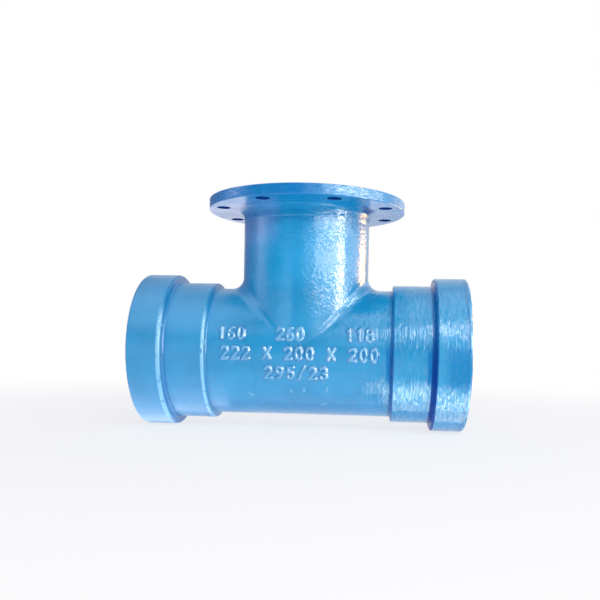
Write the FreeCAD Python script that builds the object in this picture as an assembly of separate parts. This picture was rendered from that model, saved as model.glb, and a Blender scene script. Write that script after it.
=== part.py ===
"""Double socket tee in ductile iron: two push-on sockets on the run and a flanged branch.

The run lies along X and the branch rises along +Z. The origin is where the two centre lines cross.
All lengths are in millimetres. The casting is one solid, and each socket holds one rubber ring.
"""
import FreeCAD, Part
import math
import os

Vector = FreeCAD.Vector

# Waterways and walls
RUN_BORE = 200.0
RUN_WALL = 10.0
BRANCH_BORE = 199.0
BRANCH_WALL = 10.0
CROTCH_FILLET = 21.0            # outside, where the branch grows out of the run
CORE_FILLET = 6.0               # inside, where the two waterways meet

# Sockets, with every step along the run
PIPE_OD = 222.0                 # outside of the pipe end that slides in
PIPE_CLEARANCE = 1.5            # radial room around that pipe
CENTRE_TO_SEAT = 160.0          # branch centre line to the stop that the pipe end meets
SOCKET_DEPTH = 118.0            # stop to mouth
BARREL_LEAD = 7.5               # how far the barrel's outside starts ahead of the stop
SOCKET_WALL = 6.5               # barrel wall around the pipe
BELL_LENGTH = 57.0              # thick end of the socket, over the ring's grooves
BELL_WALL = 8.0                 # bell wall over the deepest groove
BARREL_EDGE = 3.5
BELL_EDGE = 5.0
STEP_ROOT = 3.0
MOUTH_EDGE = 5.0
STOP_EDGE = 3.0

# Grooves inside the bell, from the mouth inwards; depths are measured from the socket's bore
MOUTH_DEPTH = 6.5
LEAD_LENGTH = 6.0
LIP_DEPTH = 2.5
LIP_LENGTH = 5.0
HEEL_DEPTH = 12.0
HEEL_LENGTH = 12.0
RIDGE_DEPTH = 8.0
RIDGE_LENGTH = 4.0
BULB_DEPTH = 10.0
BULB_LENGTH = 13.0
SLOPE_LENGTH = 10.0
GROOVE_EDGE = 1.0

# Rubber ring
RING_GAP = 0.2                  # between the ring and the groove walls, all round
RING_BORE_GAP = 1.2             # between the ring and the pipe, as the ring is drawn
RING_LIP_COVER = 2.0            # how far the ring's face stands back behind the lip
RING_TAPER = 8.0                # length of the funnel that guides the pipe into the ring
RING_NOSE = 4.0                 # how far the soft end reaches down the slope
RING_EDGE = 1.0
RING_NOSE_EDGE = 2.5

# Branch flange
FLANGE_OD = 340.0
FLANGE_TOP = 260.0              # run centre line to the top of the rim
FLANGE_RIM = 17.0
FLANGE_EDGE = 1.25
RAISED_FACE = 3.0
RAISED_FACE_EDGE = 0.5
BOLT_HOLE = 23.0
BOLT_COUNT = 8
BOLT_TO_RIM = 11.0              # metal between a bolt hole and the rim's outside
BOLT_TO_FACE = 3.0              # room between a bolt hole and the raised face
NECK_SHARE = 0.53               # part of the room between branch and bolt holes that the neck's fillet takes

# Sizes that follow from the ones above
RUN_RADIUS = RUN_BORE / 2 + RUN_WALL
BRANCH_RADIUS = BRANCH_BORE / 2 + BRANCH_WALL
SOCKET_RADIUS = PIPE_OD / 2 + PIPE_CLEARANCE
BARREL_RADIUS = SOCKET_RADIUS + SOCKET_WALL
BELL_RADIUS = SOCKET_RADIUS + max(HEEL_DEPTH, BULB_DEPTH, RIDGE_DEPTH) + BELL_WALL
MOUTH_X = CENTRE_TO_SEAT + SOCKET_DEPTH
BARREL_X = CENTRE_TO_SEAT - BARREL_LEAD
BELL_X = MOUTH_X - BELL_LENGTH
LIP_X = MOUTH_X - LEAD_LENGTH
HEEL_X = LIP_X - LIP_LENGTH
RIDGE_X = HEEL_X - HEEL_LENGTH
BULB_X = RIDGE_X - RIDGE_LENGTH
SLOPE_X = BULB_X - BULB_LENGTH
WALL_X = SLOPE_X - SLOPE_LENGTH
FACE_Z = FLANGE_TOP + RAISED_FACE
RIM_Z = FLANGE_TOP - FLANGE_RIM
BOLT_CIRCLE = FLANGE_OD - BOLT_HOLE - 2 * BOLT_TO_RIM
RAISED_FACE_OD = BOLT_CIRCLE - BOLT_HOLE - 2 * BOLT_TO_FACE
NECK_FILLET = NECK_SHARE * ((BOLT_CIRCLE - BOLT_HOLE) / 2 - BRANCH_RADIUS)
OVERCUT = 1.0                   # how far a cut runs past the surface that it opens


def corner(before, point, after, radius):
    """Tangent points and middle of the arc that rounds a corner, limited by its shorter side."""
    to_before = before - point
    to_after = after - point
    reach = 0.45 * min(to_before.Length, to_after.Length)
    to_before.normalize()
    to_after.normalize()
    half_angle = to_before.getAngle(to_after) / 2
    setback = min(radius / math.tan(half_angle), reach)
    true_radius = setback * math.tan(half_angle)
    bisector = (to_before + to_after).normalize()
    middle = point + bisector * (true_radius / math.sin(half_angle) - true_radius)
    return point + to_before * setback, middle, point + to_after * setback


def rounded_face(corners):
    """Flat face inside a polygon of (point, corner radius) pairs."""
    stops = []
    for i, (point, radius) in enumerate(corners):
        if radius:
            before = corners[i - 1][0]
            after = corners[(i + 1) % len(corners)][0]
            stops.append(corner(before, point, after, radius))
        else:
            stops.append((point,))
    edges = []
    for i, stop in enumerate(stops):
        if len(stop) == 3:
            edges.append(Part.Arc(*stop).toShape())
        following = stops[(i + 1) % len(stops)][0]
        edges.append(Part.LineSegment(stop[-1], following).toShape())
    return Part.Face(Part.Wire(edges))


def turned_about_x(profile):
    """Solid turned about the run from (x, radius, corner radius) rows."""
    face = rounded_face([(Vector(x, 0, radius), edge) for x, radius, edge in profile])
    return face.revolve(Vector(), Vector(1, 0, 0), 360)


def turned_about_z(profile):
    """Solid turned about the branch from (radius, z, corner radius) rows."""
    face = rounded_face([(Vector(radius, 0, z), edge) for radius, z, edge in profile])
    return face.revolve(Vector(), Vector(0, 0, 1), 360)


def crossed_pipes(run_radius, branch_radius, half_length, top, fillet):
    """Two solid rods that cross at right angles, with a rolling-ball fillet along their seam."""
    run = Part.makeCylinder(run_radius, 2 * half_length, Vector(-half_length, 0, 0), Vector(1, 0, 0))
    branch = Part.makeCylinder(branch_radius, top)
    rods = run.fuse(branch).removeSplitter()
    seam = [edge for edge in rods.Edges if not isinstance(edge.Curve, (Part.Circle, Part.Line))]
    return rods.makeFillet(fillet, seam)


def both_ends(shape):
    """A shape on the right of the branch and its mirror image on the left."""
    return [shape, shape.mirror(Vector(), Vector(1, 0, 0))]


def socket_outside():
    """Outside of the right socket: barrel, then the thicker bell."""
    start = BARREL_X - 2 * STEP_ROOT
    return turned_about_x([
        (start, 0, 0),
        (start, RUN_RADIUS, 0),
        (BARREL_X, RUN_RADIUS, STEP_ROOT),
        (BARREL_X, BARREL_RADIUS, BARREL_EDGE),
        (BELL_X, BARREL_RADIUS, STEP_ROOT),
        (BELL_X, BELL_RADIUS, BELL_EDGE),
        (MOUTH_X, BELL_RADIUS, MOUTH_EDGE),
        (MOUTH_X, 0, 0),
    ])


def socket_inside():
    """Hollow of the right socket: stop, pipe wall, ring grooves, lip and flared mouth."""
    start = CENTRE_TO_SEAT - 2 * STOP_EDGE
    return turned_about_x([
        (start, 0, 0),
        (start, RUN_BORE / 2, 0),
        (CENTRE_TO_SEAT, RUN_BORE / 2, STOP_EDGE),
        (CENTRE_TO_SEAT, SOCKET_RADIUS, STOP_EDGE),
        (WALL_X, SOCKET_RADIUS, GROOVE_EDGE),
        (SLOPE_X, SOCKET_RADIUS + BULB_DEPTH, GROOVE_EDGE),
        (BULB_X, SOCKET_RADIUS + BULB_DEPTH, GROOVE_EDGE),
        (BULB_X, SOCKET_RADIUS + RIDGE_DEPTH, GROOVE_EDGE / 2),
        (RIDGE_X, SOCKET_RADIUS + RIDGE_DEPTH, GROOVE_EDGE),
        (RIDGE_X, SOCKET_RADIUS + HEEL_DEPTH, GROOVE_EDGE),
        (HEEL_X, SOCKET_RADIUS + HEEL_DEPTH, GROOVE_EDGE),
        (HEEL_X, SOCKET_RADIUS + LIP_DEPTH, GROOVE_EDGE),
        (LIP_X, SOCKET_RADIUS + LIP_DEPTH, GROOVE_EDGE),
        (MOUTH_X, SOCKET_RADIUS + MOUTH_DEPTH, GROOVE_EDGE),
        (MOUTH_X + OVERCUT, SOCKET_RADIUS + MOUTH_DEPTH, 0),
        (MOUTH_X + OVERCUT, 0, 0),
    ])


def flange():
    """Branch flange, its neck fillet and its raised face, with no holes yet."""
    start = RIM_Z - 2 * NECK_FILLET
    return turned_about_z([
        (0, start, 0),
        (BRANCH_RADIUS, start, 0),
        (BRANCH_RADIUS, RIM_Z, NECK_FILLET),
        (FLANGE_OD / 2, RIM_Z, FLANGE_EDGE),
        (FLANGE_OD / 2, FLANGE_TOP, FLANGE_EDGE),
        (RAISED_FACE_OD / 2, FLANGE_TOP, RAISED_FACE_EDGE),
        (RAISED_FACE_OD / 2, FACE_Z, RAISED_FACE_EDGE),
        (0, FACE_Z, 0),
    ])


def bolt_holes():
    """Cutters for the bolt circle; the holes straddle the centre lines."""
    cutters = []
    for i in range(BOLT_COUNT):
        angle = 2 * math.pi * (i + 0.5) / BOLT_COUNT
        x = BOLT_CIRCLE / 2 * math.cos(angle)
        y = BOLT_CIRCLE / 2 * math.sin(angle)
        start = Vector(x, y, RIM_Z - NECK_FILLET)
        cutters.append(Part.makeCylinder(BOLT_HOLE / 2, FACE_Z - start.z + OVERCUT, start))
    return cutters


def tee_casting():
    """The whole casting as one solid."""
    skin = crossed_pipes(RUN_RADIUS, BRANCH_RADIUS, BARREL_X + STEP_ROOT, RIM_Z, CROTCH_FILLET)
    solid = skin.multiFuse(both_ends(socket_outside()) + [flange()])
    core = crossed_pipes(RUN_BORE / 2, BRANCH_BORE / 2, CENTRE_TO_SEAT, FACE_Z + OVERCUT, CORE_FILLET)
    hollow = solid.cut([core] + both_ends(socket_inside()) + bolt_holes())
    return hollow.removeSplitter()


def ring():
    """Rubber ring of the right socket: a hard heel behind the lip and a soft bulb on the slope."""
    bore = PIPE_OD / 2 + RING_BORE_GAP
    face = SOCKET_RADIUS + LIP_DEPTH + RING_LIP_COVER
    nose_x = SLOPE_X - RING_NOSE + RING_GAP
    return turned_about_x([
        (HEEL_X, face, RING_EDGE),
        (HEEL_X, SOCKET_RADIUS + HEEL_DEPTH - RING_GAP, RING_EDGE),
        (RIDGE_X + RING_GAP, SOCKET_RADIUS + HEEL_DEPTH - RING_GAP, RING_EDGE),
        (RIDGE_X + RING_GAP, SOCKET_RADIUS + RIDGE_DEPTH - RING_GAP, 0),
        (BULB_X - RING_GAP, SOCKET_RADIUS + RIDGE_DEPTH - RING_GAP, 0),
        (BULB_X - RING_GAP, SOCKET_RADIUS + BULB_DEPTH - RING_GAP, RING_EDGE),
        (SLOPE_X + RING_GAP, SOCKET_RADIUS + BULB_DEPTH - RING_GAP, RING_NOSE_EDGE),
        (nose_x, bore + RING_NOSE, RING_NOSE_EDGE),
        (nose_x, bore, RING_EDGE),
        (BULB_X, bore, RING_EDGE),
        (BULB_X + RING_TAPER, face, RING_EDGE),
    ])


os.makedirs("parts", exist_ok=True)
tee_casting().exportStep("parts/tee_casting.step")
right_ring, left_ring = both_ends(ring())
right_ring.exportStep("parts/right_ring.step")
left_ring.exportStep("parts/left_ring.step")
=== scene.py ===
"""Double socket tee in glossy blue epoxy on ductile iron, on a plain pale floor.

Lengths are in metres: +X towards the right socket, +Z up the branch, -Y towards the raised numerals.
"""
import math

import bpy
import numpy as np
from bpy.props import FloatProperty, FloatVectorProperty, PointerProperty, StringProperty
from bpy.types import Operator, Panel, PropertyGroup
from mathutils import Matrix, Vector


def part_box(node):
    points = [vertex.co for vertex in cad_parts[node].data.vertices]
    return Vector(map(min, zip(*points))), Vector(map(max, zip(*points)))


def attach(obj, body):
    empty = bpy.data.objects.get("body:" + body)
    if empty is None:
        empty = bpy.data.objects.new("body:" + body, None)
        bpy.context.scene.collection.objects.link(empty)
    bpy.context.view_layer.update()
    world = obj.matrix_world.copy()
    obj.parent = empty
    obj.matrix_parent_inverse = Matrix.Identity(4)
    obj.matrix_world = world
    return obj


bl_info = {
    "name": "Double socket tee",
    "version": (1, 0, 0),
    "blender": (4, 5, 0),
    "location": "View3D > Sidebar > Tee",
    "description": "Paints a ductile iron tee, adds its raised numerals and paint marks, and lights it",
    "category": "Object",
}

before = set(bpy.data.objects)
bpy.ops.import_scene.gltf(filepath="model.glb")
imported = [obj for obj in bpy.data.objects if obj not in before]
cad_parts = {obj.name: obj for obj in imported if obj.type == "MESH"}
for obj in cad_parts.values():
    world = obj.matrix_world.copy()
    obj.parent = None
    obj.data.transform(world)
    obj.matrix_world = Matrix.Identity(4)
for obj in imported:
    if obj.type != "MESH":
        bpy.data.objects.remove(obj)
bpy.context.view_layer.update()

# The casting's own sizes
RUN_RADIUS = 0.110
BRANCH_RADIUS = 0.1095
BRANCH_BORE_RADIUS = 0.0995
BARREL_X = 0.1525
BARREL_RADIUS = 0.119
BELL_X = 0.221
BELL_RADIUS = 0.1325
MOUTH_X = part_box("tee_casting")[1][0]
FLANGE_RADIUS = 0.170
RIM_BOTTOM = 0.243
RIM_TOP = 0.260
FACE_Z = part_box("tee_casting")[1][2]
FACE_RADIUS = 0.133
BOLT_CIRCLE = 0.295
BOLT_COUNT = 8
BOLT_HOLE_RADIUS = 0.0115
FLOOR_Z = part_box("tee_casting")[0][2]


def linear(code):
    """Linear RGB of an sRGB hex colour."""
    values = np.array([int(code[i:i + 2], 16) for i in (1, 3, 5)]) / 255
    curved = ((values + 0.055) / 1.055) ** 2.4
    return tuple(float(v) for v in np.where(values <= 0.04045, values / 12.92, curved))


def node(tree, kind, settings=None, **sockets):
    """Adds a node, sets its attributes, and fills input sockets with a value or a link from another socket.

    A socket is named as in Blender with underscores for spaces, or by its number after the letter n.
    """
    new = tree.nodes.new(kind)
    for name, value in (settings or {}).items():
        setattr(new, name, value)
    for name, value in sockets.items():
        key = int(name[1:]) if name[0] == "n" and name[1:].isdigit() else name.replace("_", " ")
        socket = new.inputs[key]
        if isinstance(value, bpy.types.NodeSocket):
            tree.links.new(value, socket)
        else:
            socket.default_value = value
    return new


def new_material(name):
    """Empty node material and its tree."""
    material = bpy.data.materials.new(name)
    material.use_nodes = True
    material.node_tree.nodes.clear()
    return material, material.node_tree


# Properties that a user would change

class PaintSettings(PropertyGroup):
    colour: FloatVectorProperty(
        name="Blue", description="Epoxy where it is thin and well lit",
        subtype="COLOR", size=3, min=0, max=1, default=linear("#1c9acc"))
    thick: FloatVectorProperty(
        name="Deep blue", description="Epoxy where it has run thick",
        subtype="COLOR", size=3, min=0, max=1, default=linear("#148fc1"))
    # Partly painted shade: the rim's deeper blue, most on its left; it also fills the dark wedges by the
    # right steps as painted reflection
    rim: FloatVectorProperty(
        name="Rim blue", description="Thick epoxy on the flange's rim",
        subtype="COLOR", size=3, min=0, max=1, default=linear("#0a7dbd"))
    # Painted shade: the deep blue laid in the corners of the steps, in the right of the neck, on the right
    # bell and round the numerals' feet
    painted_shade: FloatVectorProperty(
        name="Pooled", description="Epoxy pooled in the corners of the steps",
        subtype="COLOR", size=3, min=0, max=1, default=linear("#04489a"))
    # Painted highlight: the pale tint of the left steps' edges, the numerals' tops and the drips
    thin: FloatVectorProperty(
        name="Rubbed", description="Epoxy rubbed thin on an edge",
        subtype="COLOR", size=3, min=0, max=1, default=linear("#8fd3f2"))
    # Painted shade: the dark navy of the bolt holes' walls
    hole_shade: FloatVectorProperty(
        name="Drilled", description="Walls of the drilled holes",
        subtype="COLOR", size=3, min=0, max=1, default=linear("#0d4796"))
    roughness: FloatProperty(
        name="Roughness", description="Roughness of the cured film",
        default=0.19, min=0, max=1)
    pimple_size: FloatProperty(
        name="Pimple size", description="Sand grain clusters under the paint",
        default=0.0045, min=0.001, unit="LENGTH")
    pimple_height: FloatProperty(
        name="Pimple height", description="How far the pimples stand out",
        default=0.0005, min=0, unit="LENGTH")
    streak_spacing: FloatProperty(
        name="Streak spacing", description="Brush streaks round the sockets",
        default=0.0034, min=0.001, unit="LENGTH")
    streak_height: FloatProperty(
        name="Streak height", description="Depth of the brush streaks",
        default=0.0008, min=0, unit="LENGTH")
    sag_height: FloatProperty(
        name="Sag height", description="Depth of the sags where the brush left too much",
        default=0.0007, min=0, unit="LENGTH")
    ridge_height: FloatProperty(
        name="Ridge height", description="Depth of the brush ridges round the branch's neck",
        default=0.0010, min=0, unit="LENGTH")
    drip_relief: FloatProperty(
        name="Drip relief", description="How far a drip stands out",
        default=0.0010, min=0, unit="LENGTH")
    wave_size: FloatProperty(
        name="Wave size", description="Slow unevenness of the cast skin",
        default=0.035, min=0.01, unit="LENGTH")
    wave_height: FloatProperty(
        name="Wave height", description="Height of that unevenness",
        default=0.00042, min=0, unit="LENGTH")


class RubberSettings(PropertyGroup):
    colour: FloatVectorProperty(
        name="Black", description="Moulded rubber",
        subtype="COLOR", size=3, min=0, max=1, default=linear("#1c1d1f"))
    roughness: FloatProperty(
        name="Roughness", description="Roughness of the matt rubber skin",
        default=0.55, min=0, max=1)


class NumeralSettings(PropertyGroup):
    height: FloatProperty(
        name="Height", description="Height of a numeral",
        default=0.0235, unit="LENGTH")
    stroke: FloatProperty(
        name="Stroke", description="Width of a stroke at its foot",
        default=0.0088, unit="LENGTH")
    relief: FloatProperty(
        name="Relief", description="How far the numerals stand out",
        default=0.0030, unit="LENGTH")
    row_pitch: FloatProperty(
        name="Row pitch", description="Distance between rows round the run",
        default=0.0322, unit="LENGTH")
    top_row: StringProperty(
        name="Top row", description="Lengths to the stop and to the flange, and depth of a socket",
        default="160   260    118")
    middle_row: StringProperty(
        name="Middle row", description="Pipe, run and branch diameters",
        default="222 X 200 X 200")
    bottom_row: StringProperty(
        name="Bottom row", description="Bolt circle and bolt hole",
        default="295/23")


class StudioSettings(PropertyGroup):
    floor: FloatVectorProperty(
        name="Floor", description="Plain pale floor",
        subtype="COLOR", size=3, min=0, max=1, default=linear("#f1f2f4"))
    fill: FloatProperty(
        name="Fill", description="Light that comes from all round",
        default=0.70, min=0)
    key: FloatProperty(
        name="Key", description="Radiance of the small light over the camera",
        default=16.0, min=0)
    front: FloatProperty(
        name="Front", description="Radiance of the wide diffuser at the front",
        default=1.5, min=0)
    cards: FloatProperty(
        name="Cards", description="Brightness of all the cards that only the gloss sees",
        default=1.0, min=0)


# Zones of a surface, as shares from 0 to 1

def band(value, start, end, soft, peak=1.0):
    """Two steps whose product is the peak between start and end, with soft sides, and 0 elsewhere."""
    return (value, start - soft, start), (value, end, end + soft, peak, 0.0)


def product(tree, *factors):
    """Product of numbers, sockets and steps.

    A step is (value, start, end, low, high): a smooth change from low to high while the value goes from
    start to end. Without low and high it goes from 0 to 1.
    """
    result = None
    for factor in factors:
        if isinstance(factor, tuple):
            value, start, end, low, high = (*factor, 0.0, 1.0)[:5]
            factor = node(tree, "ShaderNodeMapRange", {"interpolation_type": "SMOOTHSTEP"}, Value=value,
                          From_Min=start, From_Max=end, To_Min=low, To_Max=high).outputs[0]
        if result is None:
            result = factor
        else:
            result = node(tree, "ShaderNodeMath", {"operation": "MULTIPLY"}, n0=result, n1=factor).outputs[0]
    return result


def union(tree, *zones):
    """Largest of several zones, each a socket or a band."""
    result = None
    for zone in zones:
        if isinstance(zone, tuple):
            zone = product(tree, *zone)
        if result is None:
            result = zone
        else:
            result = node(tree, "ShaderNodeMath", {"operation": "MAXIMUM"}, n0=result, n1=zone).outputs[0]
    return result


def tinted(tree, colour, layers):
    """The colour under a list of (share, tint) layers, each laid over the ones before."""
    result = (*colour, 1)
    for share, tint in layers:
        result = node(tree, "ShaderNodeMix", {"data_type": "RGBA"}, n0=share, n6=result,
                      n7=(*tint, 1)).outputs[2]
    return result


class Skin:
    """The casting's surface in a node tree: where a point is, and how far it lies in each zone of the paint
    and of the painted light and shade.

    across is the distance from the middle of the run along it, and out that from the branch's axis.
    """

    def __init__(self, tree):
        self.tree = tree
        self.place = node(tree, "ShaderNodeTexCoord").outputs["Object"]
        parts = node(tree, "ShaderNodeSeparateXYZ", n0=self.place)
        self.x, self.y, self.z = (parts.outputs[i] for i in range(3))
        self.across = node(tree, "ShaderNodeMath", {"operation": "ABSOLUTE"}, n0=self.x).outputs[0]
        self.out = self.length(self.x, self.y)
        self.patch = self.noise(45, 2.0, 0.6)
        self.find_finish()
        self.find_steps()
        self.find_flange()
        self.find_holes()

    def length(self, first, second):
        """Length of the flat vector that has these two parts."""
        flat = node(self.tree, "ShaderNodeCombineXYZ", X=first, Y=second).outputs[0]
        return node(self.tree, "ShaderNodeVectorMath", {"operation": "LENGTH"}, n0=flat).outputs["Value"]

    def noise(self, millimetres, detail, roughness, stretch=(1, 1, 1), distortion=0.0):
        """Noise whose features are about this many millimetres, stretched along each axis."""
        scale = tuple(1000 / (millimetres * s) for s in stretch)
        spread = node(self.tree, "ShaderNodeMapping", Vector=self.place, Scale=scale).outputs[0]
        return node(self.tree, "ShaderNodeTexNoise", Vector=spread, Scale=1.0, Detail=detail,
                    Roughness=roughness, Distortion=distortion).outputs["Fac"]

    def find_finish(self):
        """Where the film was brushed, on the sockets and more on the right one, and where it was sprayed and
        sand pimples show in patches."""
        tree, x, z, across = self.tree, self.x, self.z, self.across
        on_socket = union(tree, product(tree, (across, 0.118, 0.155, 0.12, 1.0)),
                          product(tree, (x, 0.055, 0.110, 0.0, 0.30)))
        self.brushed = product(tree, on_socket, (x, -0.02, 0.12, 0.10, 1.0), (z, 0.07, 0.11, 1.0, 0.5))
        self.pimpled = product(tree, (self.patch, 0.34, 0.60, 0.30, 1.0), (across, 0.118, 0.155, 1.0, 0.30),
                               (x, -0.10, 0.03, 0.35, 1.0), (z, 0.03, 0.09, 0.35, 1.0))

    def find_steps(self):
        """Painted shade in the corners of the steps, less on the left, and a painted highlight on the left
        steps' outer edges.
        """
        tree, x, z, across = self.tree, self.x, self.z, self.across
        self.off_flange = product(tree, (z, 0.16, 0.20, 1.0, 0.0))
        # Painted shade: the corners of the steps go to the deep blue, less on the left
        corners = union(tree, band(across, BARREL_X - 0.0030, BARREL_X + 0.0016, 0.0022, 0.6),
                        band(across, BELL_X - 0.0042, BELL_X + 0.0022, 0.0026))
        self.corners = product(tree, corners, self.off_flange, (x, -0.05, 0.05, 0.28, 1.0),
                               (z, -0.05, 0.08, 1.0, 0.6))
        # Painted reflection: a dark wedge on the right steps below mid height, where the gloss would mirror
        # the dark face of the step
        dark_reflection = union(tree, band(across, BARREL_X - 0.0070, BARREL_X, 0.0045, 0.50),
                      band(across, BELL_X - 0.0095, BELL_X, 0.0055, 0.55))
        self.dark_reflection = product(tree, dark_reflection, (x, 0.0, 0.1), *band(z, -0.036, 0.004, 0.020))
        # Painted shade on the right bell at the same height, as far as its mouth
        self.bell_shade = product(tree, (x, MOUTH_X - 0.050, MOUTH_X - 0.030, 0.0, 0.30),
                                *band(z, -0.044, 0.006, 0.016))
        # Painted highlight: a pale ragged line on the outer edges of the left socket's steps
        edges = union(tree, band(x, -BARREL_X - 0.0044, -BARREL_X - 0.0010, 0.0016, 0.9),
                      band(x, -BELL_X - 0.0054, -BELL_X - 0.0012, 0.0018, 0.85))
        ragged = product(tree, (self.noise(9.0, 2.0, 0.6), 0.30, 0.44, 0.25, 1.0))
        self.edge_highlight = product(tree, edges, ragged, *band(z, -0.105, 0.050, 0.030), self.off_flange)

    def find_flange(self):
        """The neck under the flange, the rim's outside, and a painted shade in the right of the neck."""
        tree, x, z, out = self.tree, self.x, self.z, self.out
        self.neck = product(tree, *band(z, RIM_BOTTOM - 0.0170, RIM_BOTTOM - 0.0045, 0.006),
                            (out, 0.150, 0.120))
        self.rim = product(tree, (out, FLANGE_RADIUS - 0.0020, FLANGE_RADIUS - 0.0008),
                           (z, RIM_BOTTOM - 0.005, RIM_BOTTOM - 0.001))
        self.pool = product(tree, *band(z, RIM_BOTTOM - 0.0045, RIM_BOTTOM + 0.0010, 0.0030),
                            (x, 0.094, 0.104), (out, 0.1280, 0.1200), (self.y, -0.015, -0.035),
                            self.noise(4.0, 1.0, 0.5))

    def find_holes(self):
        """Walls of the bolt holes, which carry a painted shade of dark navy, by the distance from the nearest
        hole's axis.

        The turn round the branch is folded onto half the pitch of the holes, so that one hole stands for all.
        """
        tree, z, out = self.tree, self.z, self.out
        half_pitch = math.pi / BOLT_COUNT
        turn = node(tree, "ShaderNodeMath", {"operation": "ARCTAN2"}, n0=self.y, n1=self.x).outputs[0]
        folded = node(tree, "ShaderNodeMath", {"operation": "PINGPONG"}, n0=turn, n1=half_pitch).outputs[0]
        offset = node(tree, "ShaderNodeMath", {"operation": "SUBTRACT"}, n0=folded, n1=half_pitch).outputs[0]
        cosine = node(tree, "ShaderNodeMath", {"operation": "COSINE"}, n0=offset).outputs[0]
        sine = node(tree, "ShaderNodeMath", {"operation": "SINE"}, n0=offset).outputs[0]
        axial = node(tree, "ShaderNodeMath", {"operation": "SUBTRACT"}, n0=product(tree, out, cosine),
                     n1=BOLT_CIRCLE / 2).outputs[0]
        gap = self.length(axial, product(tree, out, sine))
        self.drilled = product(tree, (gap, BOLT_HOLE_RADIUS + 0.00005, BOLT_HOLE_RADIUS + 0.00025, 1.0, 0.0),
                               (z, RIM_BOTTOM - 0.0050, RIM_BOTTOM + 0.0005),
                               (z, RIM_TOP - 0.0005, RIM_TOP + 0.0005, 1.0, 0.0))


# Materials

def film_bumps(skin, paint):
    """Relief of the film, as a chain of bumps.

    They are the slow unevenness of the mould, sags, brush streaks round the sockets, sand pimples, brush
    ridges round the flange's neck, and the turned grooves of its raised face.
    """
    tree, z, out = skin.tree, skin.z, skin.out
    wave = skin.noise(paint.wave_size * 1000, 2.0, 0.45)
    sag = product(tree, skin.noise(7, 0.6, 0.4, (1, 1.9, 1.9), 0.5), skin.brushed,
                  (z, -0.03, -0.07, 1.0, 1.9))
    # The streaks are calmer in a strip just below mid height
    calm = union(tree, product(tree, (z, 0.004, 0.022, 0.35, 1.0)),
                 product(tree, (z, -0.026, -0.044, 0.35, 1.0)))
    streak = product(tree, skin.noise(paint.streak_spacing * 1000, 1.0, 0.4, (1, 11, 11), 0.3),
                     skin.brushed, calm)
    pimple = product(tree, skin.noise(paint.pimple_size * 1000, 0.8, 0.45), skin.pimpled)
    ridge = product(tree, skin.noise(3.4, 1.0, 0.5, (5, 5, 1), 0.8), skin.neck)
    groove_pitch = 0.0012
    groove_depth = 0.00005
    round_branch = node(tree, "ShaderNodeMath", {"operation": "SINE"},
                        n0=product(tree, out, 2 * math.pi / groove_pitch)).outputs[0]
    groove = product(tree, round_branch, (z, FACE_Z - 0.0008, FACE_Z - 0.0004),
                     (out, FACE_RADIUS - 0.0015, FACE_RADIUS - 0.0005, 1.0, 0.0),
                     (out, BRANCH_BORE_RADIUS + 0.001, BRANCH_BORE_RADIUS + 0.002))
    below = {}
    for height, depth in ((wave, paint.wave_height), (sag, paint.sag_height), (streak, paint.streak_height),
                          (pimple, paint.pimple_height), (ridge, paint.ridge_height), (groove, groove_depth)):
        bump = node(tree, "ShaderNodeBump", Strength=1.0, Distance=depth, Height=height, **below).outputs[0]
        below = {"Normal": bump}
    return bump


def film_colour(skin, paint, pale, raised):
    """Deeper blue where the film runs thick in drifts, painted shade and reflection in deeper blues, and
    painted haze and highlight in paler tints.
    """
    tree, x, z = skin.tree, skin.x, skin.z
    drifts = product(tree, (skin.noise(60, 3.0, 0.55), 0.35, 0.70))
    # Painted reflection: a pale lilac haze on the left socket, and on the front of the branch's left under
    # the flange
    lilac_haze = union(tree, product(tree, (x, -0.10, -0.18, 0.0, 0.07)),
                  product(tree, (x, -0.025, -0.050, 0.0, 0.36), *band(z, 0.200, 0.240, 0.035),
                          (skin.y, -0.02, -0.06), (skin.out, 0.160, 0.135)))
    # Partly thick epoxy and partly painted shade: the rim goes to a deeper blue, most on its left, where less
    # light falls
    rim = product(tree, skin.rim, (x, 0.01, 0.09, 1.0, 0.35))
    # Painted shade: a darker ring on the right bell just short of its mouth, and the bell's band at mid
    # height
    mouth_shade = union(tree, band(x, MOUTH_X - 0.0090, MOUTH_X - 0.0065, 0.0020, 0.35), skin.bell_shade)
    # Painted light among these layers: the haze and the wedges are painted reflection, the corners, neck,
    # mouth, bell band and holes painted shade, and the edge line a painted highlight
    layers = [(drifts, paint.thick), (lilac_haze, linear("#86a4da")), (rim, paint.rim),
              (product(tree, skin.dark_reflection, 1.7), paint.rim), (skin.corners, paint.painted_shade),
              (product(tree, skin.pool, 1.6), paint.painted_shade),
              (product(tree, mouth_shade, skin.off_flange), paint.painted_shade),
              (skin.edge_highlight, paint.thin), (skin.drilled, paint.hole_shade)]
    # A painted highlight: the whole piece goes part way to the pale tint
    if pale:
        layers.append((pale, paint.thin))
    if raised:
        # Painted shade round the numerals' feet and a painted highlight on their tops
        radius = skin.length(skin.y, z)
        foot = product(tree, (radius, RUN_RADIUS + 0.0004, RUN_RADIUS + 0.0012, 0.55, 0.0))
        top = product(tree, (radius, RUN_RADIUS + 0.0010, RUN_RADIUS + 0.0025, 0.0, 0.26))
        layers += [(foot, paint.painted_shade), (top, paint.thin)]
    return tinted(tree, paint.colour, layers)


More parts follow.
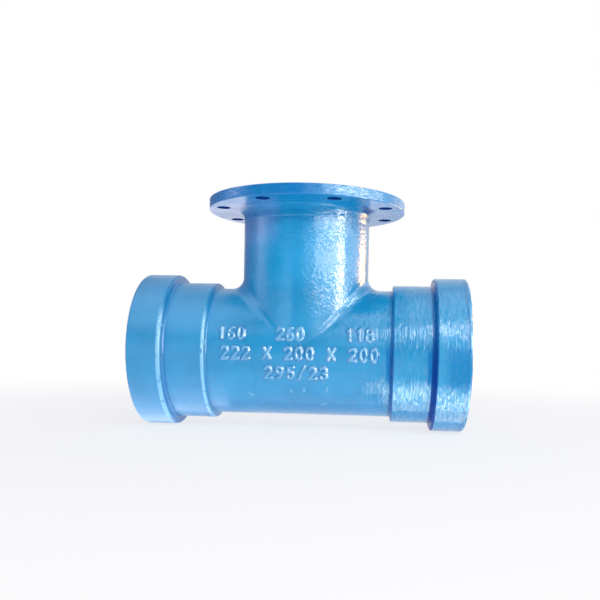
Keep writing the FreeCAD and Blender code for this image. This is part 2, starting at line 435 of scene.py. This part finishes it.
def film_gloss(skin, paint, raised):
    """Specular level and roughness of the film.

    The gloss shows in broken strokes where the brush went, and in specks where sand stands up into the film.
    It is dull in the corners of the steps and up against the flange, where nothing bright is left to reflect.
    """
    tree, x, z = skin.tree, skin.x, skin.z
    strokes = product(tree, (skin.noise(2.6, 1.0, 0.5, (1, 5, 5), 0.6), 0.40, 0.60, 0.33, 0.76))
    specks = product(tree, (skin.noise(3.2, 1.0, 0.5), 0.40, 0.60, 0.30, 0.80))
    rim_strokes = product(tree, (skin.noise(2.0, 1.0, 0.5, (5, 5, 1), 0.4), 0.40, 0.60, 0.32, 0.85))
    plain = 0.5
    shine = plain
    for share, level in ((skin.brushed, strokes), (skin.pimpled, specks), (skin.rim, rim_strokes)):
        shine = node(tree, "ShaderNodeMix", n0=share, n2=shine, n3=level).outputs[0]
    # Partly dull too in a strip on the right of the branch, and on the right barrel beside its step
    beside_branch = product(tree, *band(x, 0.084, 0.0910, 0.007, 0.5), *band(z, 0.215, 0.236, 0.025),
                            (skin.y, 0.0, -0.02))
    beside_step = product(tree, *band(x, 0.155, 0.168, 0.022, 0.4), (z, 0.020, 0.035))
    dull = union(tree, skin.corners, product(tree, skin.neck, (x, 0.0, 0.05, 0.85, 0.25)), skin.drilled,
                 product(tree, skin.dark_reflection, 1.4), product(tree, skin.pool, 2.0),
                 product(tree, skin.bell_shade, 1.8), beside_branch, beside_step)
    shine = product(tree, shine, (dull, 0.0, 1.0, 1.0, 0.1))
    if raised:
        shine = product(tree, shine, 1.65)
    lacking = node(tree, "ShaderNodeMath", {"operation": "SUBTRACT"}, n0=plain, n1=shine).outputs[0]
    roughness = product(tree, (skin.patch, 0.3, 0.7, paint.roughness - 0.03, paint.roughness + 0.06))
    for extra in (product(tree, (x, -0.15, 0.0, 0.13, 0.0)), product(tree, skin.drilled, 0.4),
                  product(tree, (x, 0.13, 0.16, 0.0, 0.06), (z, 0.0, 0.03, 1.0, 0.4)),
                  product(tree, lacking, 0.15)):
        roughness = node(tree, "ShaderNodeMath", {"operation": "ADD"}, n0=roughness, n1=extra).outputs[0]
    return shine, roughness


def epoxy_material(name, paint, pale=0.0, raised=False):
    """Blue epoxy on sand-cast ductile iron: hard and glossy, pimpled by the sand, brushed on the sockets.

    pale is how far the colour goes to the pale tint of a painted highlight. On raised numerals the tops carry
    a painted highlight and the feet a painted shade, and the film is glossier.
    """
    material, tree = new_material(name)
    skin = Skin(tree)
    shine, roughness = film_gloss(skin, paint, raised)
    shader = node(tree, "ShaderNodeBsdfPrincipled", Base_Color=film_colour(skin, paint, pale, raised),
                  Roughness=roughness, IOR=1.58, Specular_IOR_Level=shine, Normal=film_bumps(skin, paint))
    node(tree, "ShaderNodeOutputMaterial", Surface=shader.outputs[0])
    return material


def rubber_material(rubber):
    """Black EPDM rubber, compression moulded: matt, with a faint bloom."""
    material, tree = new_material("moulded_epdm_rubber")
    place = node(tree, "ShaderNodeTexCoord").outputs["Object"]
    grain = node(tree, "ShaderNodeTexNoise", Vector=place, Scale=1 / 0.0015, Detail=2.0).outputs["Fac"]
    cloud = node(tree, "ShaderNodeTexNoise", Vector=place, Scale=1 / 0.030, Detail=4.0).outputs["Fac"]
    bloom = node(tree, "ShaderNodeMapRange", Value=cloud, From_Min=0.4, From_Max=0.75).outputs[0]
    colour = tinted(tree, rubber.colour, [(bloom, linear("#2b2c2f"))])
    bump = node(tree, "ShaderNodeBump", Strength=1.0, Distance=0.00005, Height=grain).outputs[0]
    shader = node(tree, "ShaderNodeBsdfPrincipled", Base_Color=colour, Roughness=rubber.roughness, IOR=1.52,
                  Normal=bump)
    node(tree, "ShaderNodeOutputMaterial", Surface=shader.outputs[0])
    return material


# Meshes worked out as arrays

def grid_mesh(points, keep=None):
    """Mesh from a (rows, columns, 3) array; keep is a (rows-1, columns-1) mask of the cells that stay."""
    rows, columns = points.shape[:2]
    first = np.arange(rows - 1)[:, None] * columns + np.arange(columns - 1)[None, :]
    if keep is not None:
        first = first[keep]
    first = first.ravel()
    quads = np.stack([first, first + 1, first + columns + 1, first + columns], axis=1)
    used = np.unique(quads)
    renumber = np.zeros(rows * columns, dtype=np.int64)
    renumber[used] = np.arange(len(used))
    return points.reshape(-1, 3)[used], renumber[quads]


def object_from(name, blocks):
    """One object at the origin from (points, quads) blocks."""
    points, quads, start = [], [], 0
    for block_points, block_quads in blocks:
        points.append(block_points)
        quads.append(block_quads + start)
        start += len(block_points)
    points, quads = np.concatenate(points), np.concatenate(quads)
    mesh = bpy.data.meshes.new(name)
    mesh.from_pydata(points.tolist(), [], quads.tolist())
    mesh.polygons.foreach_set("use_smooth", np.ones(len(quads), dtype=bool))
    mesh.update()
    made = bpy.data.objects.new(name, mesh)
    bpy.context.scene.collection.objects.link(made)
    return made


def skin_reach(x, z):
    """Distance from the plane through both centre lines to the casting's front skin.

    The run gives sqrt(R^2 - z^2) and the branch sqrt(r^2 - x^2) above the run's centre. The larger of the two
    counts, and where they are close a parabola rounds the corner between them as the seam's fillet does.
    """
    run = np.sqrt(np.clip(RUN_RADIUS ** 2 - z ** 2, 0, None))
    branch = np.where(z > 0, np.sqrt(np.clip(BRANCH_RADIUS ** 2 - x ** 2, 0, None)), 0)
    rounding = 0.002
    closeness = np.clip(rounding - np.abs(run - branch), 0, None) / rounding
    return np.maximum(run, branch) + closeness ** 2 * rounding / 4


def arc(cx, cy, rx, ry, start, end, count=24):
    """Points of an elliptic arc between two angles in degrees."""
    t = np.radians(np.linspace(start, end, count))
    return np.stack([cx + rx * np.cos(t), cy + ry * np.sin(t)], axis=1)


def bar(*corners):
    """Straight strokes through the corners."""
    return np.array(corners, dtype=float)


# Strokes of plain block numerals in a box 0.6 wide and 1 high
GLYPH_WIDTH = 0.6
GLYPHS = {
    "0": [arc(0.30, 0.50, 0.20, 0.40, 0, 360, 40)],
    "1": [bar((0.18, 0.74), (0.32, 0.90), (0.32, 0.10))],
    "2": [arc(0.29, 0.68, 0.20, 0.22, 165, -35), bar((0.454, 0.554), (0.09, 0.10), (0.51, 0.10))],
    "3": [arc(0.28, 0.70, 0.19, 0.20, 150, -90), arc(0.28, 0.30, 0.21, 0.20, 90, -150)],
    "4": [bar((0.53, 0.32), (0.08, 0.32), (0.40, 0.90), (0.40, 0.10))],
    "5": [bar((0.49, 0.90), (0.16, 0.90), (0.13, 0.52)), arc(0.28, 0.34, 0.21, 0.24, 135, -145)],
    "6": [arc(0.30, 0.31, 0.20, 0.21, 0, 360, 32), arc(0.50, 0.33, 0.40, 0.57, 100, 180)],
    "7": [bar((0.09, 0.90), (0.50, 0.90), (0.24, 0.10))],
    "8": [arc(0.30, 0.71, 0.19, 0.20, 0, 360, 32), arc(0.30, 0.29, 0.22, 0.22, 0, 360, 32)],
    "9": [arc(0.30, 0.69, 0.20, 0.21, 0, 360, 32), arc(0.10, 0.67, 0.40, 0.57, 0, -80)],
    "X": [bar((0.08, 0.14), (0.52, 0.86)), bar((0.08, 0.86), (0.52, 0.14))],
    "/": [bar((0.10, 0.04), (0.50, 0.96))],
}


def stroke_distance(points, strokes):
    """Distance from each point to the nearest stroke, for whole arrays at once."""
    nearest = np.full(points.shape[:2], np.inf)
    for stroke in strokes:
        a, b = stroke[:-1], stroke[1:]
        along = b - a
        to_point = points[:, :, None, :] - a
        t = np.clip((to_point * along).sum(-1) / (along ** 2).sum(-1), 0, 1)
        gap = to_point - t[..., None] * along
        nearest = np.minimum(nearest, np.sqrt((gap ** 2).sum(-1)).min(-1))
    return nearest


def numeral_block(glyph, left, middle, settings):
    """Relief of one numeral on the run's front.

    On a grid of u along the run and v round it, the height is relief * (1 - s)^2 * (1 + 2s), where s is the
    distance to the nearest stroke over half its width, so the sides flare into the skin. It starts 0.2 mm
    under the skin, and the cells beyond the strokes' feet are left out.
    """
    height, half = settings.height, settings.stroke / 2
    step = 0.00045
    sunk = 0.0002
    u = np.arange(-half, GLYPH_WIDTH * height + half + step, step)
    v = np.arange(-half, height + half + step, step)
    grid = np.stack(np.meshgrid(u, v, indexing="ij"), axis=-1)
    strokes = [stroke * height for stroke in GLYPHS[glyph]]
    s = np.clip(stroke_distance(grid, strokes) / half, 0, 1)
    rise = settings.relief * (1 - s) ** 2 * (1 + 2 * s) - sunk
    turn = (middle - height / 2 + grid[..., 1]) / RUN_RADIUS
    x = left + grid[..., 0]
    z = RUN_RADIUS * np.sin(turn)
    points = np.stack([x, -skin_reach(x, z) - rise * np.cos(turn), z + rise * np.sin(turn)], axis=-1)
    high = s < 1
    keep = high[:-1, :-1] | high[1:, :-1] | high[:-1, 1:] | high[1:, 1:]
    return grid_mesh(points[::-1], keep[::-1])


# Drips and nibs of thick paint: x, z, radius of the skin there, length, width and lean in degrees
DRIPS = (
    (-0.0794, -0.0697, RUN_RADIUS, 0.011, 0.0040, 58),
    (0.0414, -0.0850, RUN_RADIUS, 0.009, 0.0038, -62),
    (-0.0120, -0.0620, RUN_RADIUS, 0.007, 0.0030, 5),
    (0.0100, -0.0600, RUN_RADIUS, 0.008, 0.0032, -4),
    (0.0475, -0.0590, RUN_RADIUS, 0.008, 0.0030, 0),
    (0.1735, -0.0725, BARREL_RADIUS, 0.011, 0.0042, 12),
    (0.1935, -0.0785, BARREL_RADIUS, 0.010, 0.0046, 60),
    (0.2060, -0.0720, BARREL_RADIUS, 0.006, 0.0036, 0),
    (0.1630, -0.0760, BARREL_RADIUS, 0.007, 0.0036, -15),
    (-0.2235, 0.0416, BELL_RADIUS - 0.0007, 0.007, 0.0045, 75),
    (-0.1545, 0.0156, BARREL_RADIUS - 0.0006, 0.007, 0.0050, 60),
)


def drip_block(x, z, radius, length, width, lean, relief):
    """Relief of one drip of thick paint on the front of the run or of a socket.

    u runs across the drip and v down it, turned by the lean. The height is
    relief * exp(-(2u/w)^2 - (2v/l)^4), and w grows from 0.6 of the width at the top to 1 at the foot, where
    the drip hangs fuller. It starts 0.1 mm under the skin, and the cells that lie flat there are left out.
    """
    sunk = 0.0001
    u, v = np.meshgrid(np.linspace(-width, width, 25), np.linspace(-length, length, 41) * 0.9, indexing="ij")
    wide = width * (0.8 + 0.2 * np.tanh(3 * v / length))
    rise = relief * np.exp(-(2 * u / wide) ** 2 - (2 * v / length) ** 4) - sunk
    turn = math.radians(lean)
    sideways = u * math.cos(turn) + v * math.sin(turn)
    round_run = math.asin(z / radius) + (u * math.sin(turn) - v * math.cos(turn)) / radius
    reach = radius + rise
    points = np.stack([x + sideways, -reach * np.cos(round_run), reach * np.sin(round_run)], axis=-1)
    high = rise > -0.8 * sunk
    return grid_mesh(points, high[:-1, :-1] | high[1:, 1:])


# Stage

# Distances from a point over the middle of the run. The front cards stand behind the cloths, the others
# before them.
STAGE_CENTRE = (0, 0, 0.06)
LAMP_DISTANCE = 1.9
CLOTH_DISTANCE = 1.75
CARD_DISTANCE = 1.6
FRONT_CARD_DISTANCE = 3.2

# Cards that only the gloss sees: azimuths, elevations, radiance and colour
CARDS = (
    ("front_card_a", (17, 19), (4, 13.6), 3.3, "#f8fcff"),
    ("front_card_b", (19, 25), (4, 12.2), 4.8, "#f8fcff"),
    ("front_card_c", (25, 34), (4, 12.6), 5.4, "#fafdff"),
    ("front_card_d", (34, 46), (4, 13.6), 6.6, "#fffdf9"),
    ("front_card_e", (46, 58), (4, 13.6), 8.5, "#fffdf9"),
    ("bright_card", (59, 75), (-7, 14), 20.0, "#fff6ea"),
    ("dim_card", (79, 111), (-7, 14), 2.6, "#f6f6ff"),
    ("warm_card", (114, 136), (-7, 13), 19.0, "#ffbe6e"),
    ("high_card_a", (24, 31), (14, 24), 1.8, "#f4fbff"),
    ("high_card_b", (33, 61), (14, 26), 4.3, "#f8fcff"),
    ("high_card_c", (63, 95), (15, 26), 4.2, "#fff9f0"),
    ("high_card_d", (98, 150), (14, 26), 0.7, "#dfe4ff"),
    ("top_window", (58, 82), (28, 52), 8.0, "#fff9f0"),
    ("glint_card", (9.0, 34), (25, 34), 7.2, "#fffdf8"),
    ("glint_soft_card", (3.0, 9.0), (22, 42), 1.6, "#f4fbff"),
    ("glint_low_card", (9.0, 13), (20.5, 25), 2.4, "#fffdf8"),
    ("glint_top_card", (9.0, 34), (34, 43), 5.5, "#fffdf8"),
    ("left_card", (-90, -72), (5, 28), 1.6, "#d9d0ff"),
    ("left_low_card", (-40, -18), (-7, 4), 0.9, "#e8e8ff"),
    ("left_top_card", (-75, -15), (22, 72), 1.1, "#e8eaff"),
    ("right_top_card", (20, 100), (60, 84), 1.0, "#f0f2ff"),
)

# Bright places on the floor, which the undersides reflect: x and y, size, radiance and colour
PATCHES = (
    ("right_patch", (0.26, -0.140), (0.25, 0.15), 2.7, "#fff9e0"),
    ("far_right_patch", (0.46, -0.12), (0.26, 0.20), 6.0, "#f6fbf6"),
    ("left_patch", (-0.28, -0.125), (0.30, 0.19), 1.2, "#e8ecff"),
    ("left_streak", (-0.28, -0.085), (0.30, 0.09), 1.0, "#f6fbf6"),
    ("middle_patch", (0, -0.16), (0.25, 0.20), 0.6, "#f6fbf6"),
    ("rear_patch", (-0.75, 2.0), (1.1, 1.9), 1.4, "#fff0ff"),
    ("rear_right_patch", (0.75, 2.0), (1.4, 1.9), 0.33, "#3c90ff"),
    *(("right_strip_%d" % i, (0.140 + 0.026 * i, -0.136), (0.014, 0.060), 6.2 if i < 3 else 8.0, "#fff8dc")
      for i in range(9)),
    ("right_strip_9", (0.119, -0.136), (0.012, 0.060), 3.5, "#fff8dc"),
)

# Cloths that keep the white wall out of the gloss: azimuths, elevations and colour
CLOTHS = (
    ("front_flag", (-66, -36), (5, 24), "#3b3a50"),
    ("near_flag", (-36, -18), (5, 13), "#c4c4d6"),
    ("rim_flag", (-36, 18), (12.5, 25), "#2c2c38"),
    ("branch_flag", (3, 17), (4.5, 12), "#505058"),
    ("body_flag", (3, 7), (-7, 4.5), "#505058"),
    ("bell_flag", (12, 17), (-7, 4.5), "#505058"),
    ("text_flag", (-18, 1), (25, 62), "#9c9caa"),
    ("text_low_flag", (-18, 3), (-3, 12.5), "#78788a"),
    ("left_flag", (-145, -94), (-7, 45), "#9590b4"),
)


def aim(light, place, target):
    """Places a light and turns it to look at the target."""
    place, target = Vector(place), Vector(target)
    turn = (target - place).to_track_quat("-Z", "Y").to_matrix().to_4x4()
    light.matrix_world = Matrix.Translation(place) @ turn


def around(azimuth, elevation, distance):
    """Points at a distance from the stage's centre, as an array with x, y and z on its last axis.

    The azimuth runs from the front towards the right socket, and the elevation up, in degrees.
    """
    a, e = np.radians(azimuth), np.radians(elevation)
    outward = np.stack([np.cos(e) * np.sin(a), -np.cos(e) * np.cos(a), np.sin(e)], axis=-1)
    return STAGE_CENTRE + distance * outward


def lamp(name, size, radiance, colour):
    """Rectangular lamp that the camera doesn't see.

    A lamp of W watts and area A has the radiance W / (pi A), where 1 is white.
    """
    data = bpy.data.lights.new(name, "AREA")
    data.shape = "RECTANGLE"
    data.size, data.size_y = size
    data.energy = radiance * math.pi * size[0] * size[1]
    data.color = linear(colour)
    made = bpy.data.objects.new(name, data)
    bpy.context.scene.collection.objects.link(made)
    made.visible_camera = False
    return made


def softbox(name, azimuths, elevations, radiance, colour, distance):
    """Lamp that fills a range of directions, in degrees, as seen from the stage's centre."""
    size = [2 * distance * math.tan(math.radians(end - start) / 2) for start, end in (azimuths, elevations)]
    made = lamp(name, size, radiance, colour)
    aim(made, around(sum(azimuths) / 2, sum(elevations) / 2, distance), STAGE_CENTRE)
    return made


def floor_lamp(name, place, size, radiance, colour):
    """Lamp that lies level and faces up; place is x, y and the height over the floor."""
    made = lamp(name, size, radiance, colour)
    place = Vector(place) + Vector((0, 0, FLOOR_Z))
    made.matrix_world = Matrix.Translation(place) @ Matrix.Rotation(math.pi, 4, "X")
    return made


def studio_world(fill):
    """Studio wall: white for what the eye and the gloss see, and a softer fill for the light itself."""
    world = bpy.data.worlds.new("studio_wall")
    bpy.context.scene.world = world
    world.use_nodes = True
    tree = world.node_tree
    tree.nodes.clear()
    path = node(tree, "ShaderNodeLightPath").outputs
    seen = union(tree, path["Is Camera Ray"], path["Is Glossy Ray"], path["Is Transmission Ray"])
    soft = node(tree, "ShaderNodeBackground", Color=(*linear("#c6c9e7"), 1), Strength=fill).outputs[0]
    white = node(tree, "ShaderNodeBackground", Color=(1, 1, 1, 1), Strength=1.0).outputs[0]
    mixed = node(tree, "ShaderNodeMixShader", n0=seen, n1=soft, n2=white).outputs[0]
    node(tree, "ShaderNodeOutputWorld", Surface=mixed)


def studio_floor(colour):
    """Pale painted floor with the tee's shadow.

    To the eye it goes over into the white wall with distance, and the gloss sees it white all over.
    """
    half = 6.0
    x, y = np.meshgrid((-half, half), (-half, half))
    floor = object_from("floor", [grid_mesh(np.stack([x, y, np.full_like(x, FLOOR_Z)], axis=-1))])
    material, tree = new_material("painted_studio_floor")
    place = node(tree, "ShaderNodeTexCoord").outputs["Object"]
    away = node(tree, "ShaderNodeVectorMath", {"operation": "LENGTH"}, n0=place).outputs["Value"]
    path = node(tree, "ShaderNodeLightPath").outputs
    share = union(tree, product(tree, path["Is Camera Ray"], (away, 0.35, 1.5, 0.76, 1.0)),
                  path["Is Glossy Ray"], path["Is Transmission Ray"])
    pale = node(tree, "ShaderNodeBsdfDiffuse", Color=(*colour, 1)).outputs[0]
    white = node(tree, "ShaderNodeEmission", Color=(1, 1, 1, 1), Strength=1.0).outputs[0]
    mixed = node(tree, "ShaderNodeMixShader", n0=share, n1=pale, n2=white).outputs[0]
    node(tree, "ShaderNodeOutputMaterial", Surface=mixed)
    floor.data.materials.append(material)


def studio_lamps(key, front):
    """Small key, wide front diffuser and back diffuser, which the gloss doesn't see."""
    for made in (softbox("key_light", (6, 22), (25, 33), key, "#fffdf8", LAMP_DISTANCE),
                 softbox("front_diffuser", (-10, 60), (0, 45), front, "#fffdf2", LAMP_DISTANCE),
                 softbox("back_diffuser", (150, 210), (10, 50), 0.7, "#fffdf8", LAMP_DISTANCE)):
        made.visible_glossy = False


def gloss_cards(brightness):
    """Cards and bright places on the floor, which only the gloss sees."""
    cards = []
    for name, azimuths, elevations, radiance, colour in CARDS:
        distance = FRONT_CARD_DISTANCE if name.startswith("front") else CARD_DISTANCE
        cards.append(softbox(name, azimuths, elevations, radiance * brightness, colour, distance))
    # One small card hangs close in front of the branch
    near = softbox("near_card", (0, 4), (0, 4), 2.5 * brightness, "#f4fbff", CARD_DISTANCE)
    aim(near, (0.10, -0.70, 0.215), (0, -0.11, 0.15))
    cards.append(near)
    # Each bright place lies 0.2 mm over the one before, so that no two are level
    for i, (name, place, size, radiance, colour) in enumerate(PATCHES):
        height = 0.001 + 0.0002 * i
        cards.append(floor_lamp(name, (*place, height), size, radiance * brightness, colour))
    for card in cards:
        card.visible_diffuse = False


def bounce_lamps():
    """Light that the floor and the top of the run throw back up, which the gloss doesn't see."""
    for made in (floor_lamp("floor_bounce", (0, -0.35, 0.0005), (1.6, 0.9), 0.41, "#e6f4ff"),
                 floor_lamp("under_flange_bounce", (0.0, -0.19, 0.235), (0.26, 0.06), 0.85, "#dff0ff")):
        made.visible_glossy = False


def dyed_cloth(name, colour):
    """Dyed studio cloth, which gives off its own colour so that it looks even in the gloss."""
    material, tree = new_material(name)
    glow = node(tree, "ShaderNodeEmission", Color=(*linear(colour), 1), Strength=1.0).outputs[0]
    node(tree, "ShaderNodeOutputMaterial", Surface=glow)
    return material


def hang_cloths():
    """Cloths on a sphere round the stage, a dull mat on the floor, and a small cloth before the rim."""
    materials = {}
    for name, azimuths, elevations, colour in CLOTHS:
        materials[name] = dyed_cloth(name + "_cloth", colour)
        a, e = np.meshgrid(np.linspace(*azimuths, 25), np.linspace(*elevations, 9), indexing="ij")
        flag = object_from(name, [grid_mesh(around(a, e, CLOTH_DISTANCE))])
        flag.data.materials.append(materials[name])
        flag.visible_camera = flag.visible_shadow = False
        # The two that face the numerals darken the gloss alone
        flag.visible_diffuse = not name.startswith("text")

    # The mat lies in front of the right socket; only the gloss sees it and the cloth before the rim
    x, y = np.meshgrid((0.29, 0.75), (-1.1, -0.23))
    level = np.stack([x, y, np.full_like(x, FLOOR_Z + 0.0004)], axis=-1)
    mat = object_from("dull_mat", [grid_mesh(level[::-1])])
    mat.data.materials.append(materials["bell_flag"])
    x, z = np.meshgrid((-0.22, 0.05), (0.345, 0.60))
    upright = np.stack([x, np.full_like(x, -0.40), z], axis=-1)
    shade = object_from("rim_shade", [grid_mesh(upright)])
    shade.data.materials.append(materials["rim_flag"])
    for cloth in (mat, shade):
        cloth.visible_camera = cloth.visible_shadow = cloth.visible_diffuse = False


def studio_camera():
    """Camera whose place, lens and turn were solved from the tee's rim, holes and outlines."""
    data = bpy.data.cameras.new("camera")
    data.sensor_width = 36
    data.lens = 40.029
    data.shift_x, data.shift_y = -0.04576, 0.10868
    data.clip_end = 50
    camera = bpy.data.objects.new("camera", data)
    bpy.context.scene.collection.objects.link(camera)
    right = Vector((0.99699234, 0.07474629, 0.0204761))
    up = Vector((-0.02357199, 0.0407742, 0.9988903))
    turn = Matrix((right, up, right.cross(up))).transposed().to_4x4()
    camera.matrix_world = Matrix.Translation((0.1282948, -1.1800349, 0.02792)) @ turn
    bpy.context.scene.camera = camera


# Operators, one for each piece and one for the stage

class TEE_OT_casting(Operator):
    """Paint the casting"""
    bl_idname = "tee.casting"
    bl_label = "Paint casting"

    def execute(self, context):
        material = epoxy_material("epoxy_on_sand_cast_iron", context.scene.tee_paint)
        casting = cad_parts["tee_casting"]
        for slot in casting.material_slots:
            slot.material = material
        return {"FINISHED"}


class TEE_OT_rings(Operator):
    """Give both socket rings their rubber"""
    bl_idname = "tee.rings"
    bl_label = "Rubber rings"

    def execute(self, context):
        material = rubber_material(context.scene.tee_rubber)
        for name in ("left_ring", "right_ring"):
            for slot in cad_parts[name].material_slots:
                slot.material = material
        return {"FINISHED"}


class TEE_OT_numerals(Operator):
    """Raise the cast size numerals on the front of the run"""
    bl_idname = "tee.numerals"
    bl_label = "Cast numerals"

    def execute(self, context):
        settings = context.scene.tee_numerals
        # Text, left end, right end, and how many rows over the run's middle
        rows = ((settings.top_row, -0.133, 0.1225, 1), (settings.middle_row, -0.127, 0.1305, 0),
                (settings.bottom_row, -0.055, 0.0495, -1))
        blocks = []
        for text, left, right, row in rows:
            pitch = (right - left - GLYPH_WIDTH * settings.height) / max(len(text) - 1, 1)
            for i, glyph in enumerate(text):
                if glyph != " ":
                    blocks.append(numeral_block(glyph, left + i * pitch, row * settings.row_pitch, settings))
        if not blocks:
            raise RuntimeError("the rows hold no numeral")
        piece = object_from("cast_numerals", blocks)
        piece.data.materials.append(epoxy_material("epoxy_on_numerals", context.scene.tee_paint, raised=True))
        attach(piece, "root")
        return {"FINISHED"}


class TEE_OT_drips(Operator):
    """Set the drips of thick paint low on the front, and two nibs of it on the left steps"""
    bl_idname = "tee.drips"
    bl_label = "Paint drips"

    def execute(self, context):
        relief = context.scene.tee_paint.drip_relief
        piece = object_from("paint_drips", [drip_block(*drip, relief) for drip in DRIPS])
        # The drips carry 0.35 of the pale tint, a painted highlight
        piece.data.materials.append(epoxy_material("epoxy_drips", context.scene.tee_paint, pale=0.35))
        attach(piece, "root")
        return {"FINISHED"}


class TEE_OT_stage(Operator):
    """Set up the floor, the lights, the world and the camera"""
    bl_idname = "tee.stage"
    bl_label = "Studio"

    def execute(self, context):
        studio = context.scene.tee_studio
        context.scene.view_settings.view_transform = "Standard"
        studio_world(studio.fill)
        studio_floor(studio.floor)
        studio_lamps(studio.key, studio.front)
        gloss_cards(studio.cards)
        bounce_lamps()
        hang_cloths()
        studio_camera()
        return {"FINISHED"}


class TEE_PT_panel(Panel):
    """Lists the operators in the order in which they are used"""
    bl_idname = "TEE_PT_panel"
    bl_label = "Double socket tee"
    bl_space_type = "VIEW_3D"
    bl_region_type = "UI"
    bl_category = "Tee"

    def draw(self, context):
        for operator in OPERATORS:
            self.layout.operator(operator.bl_idname)


SETTINGS = {"tee_paint": PaintSettings, "tee_rubber": RubberSettings, "tee_numerals": NumeralSettings,
            "tee_studio": StudioSettings}
OPERATORS = (TEE_OT_casting, TEE_OT_rings, TEE_OT_numerals, TEE_OT_drips, TEE_OT_stage)


def register():
    for name, group in SETTINGS.items():
        bpy.utils.register_class(group)
        setattr(bpy.types.Scene, name, PointerProperty(type=group))
    for operator in OPERATORS:
        bpy.utils.register_class(operator)
    bpy.utils.register_class(TEE_PT_panel)


def unregister():
    bpy.utils.unregister_class(TEE_PT_panel)
    for operator in reversed(OPERATORS):
        bpy.utils.unregister_class(operator)
    for name, group in SETTINGS.items():
        delattr(bpy.types.Scene, name)
        bpy.utils.unregister_class(group)


def main():
    register()
    bpy.ops.tee.casting()
    bpy.ops.tee.rings()
    bpy.ops.tee.numerals()
    bpy.ops.tee.drips()
    bpy.ops.tee.stage()


if __name__ == "__main__":
    main()
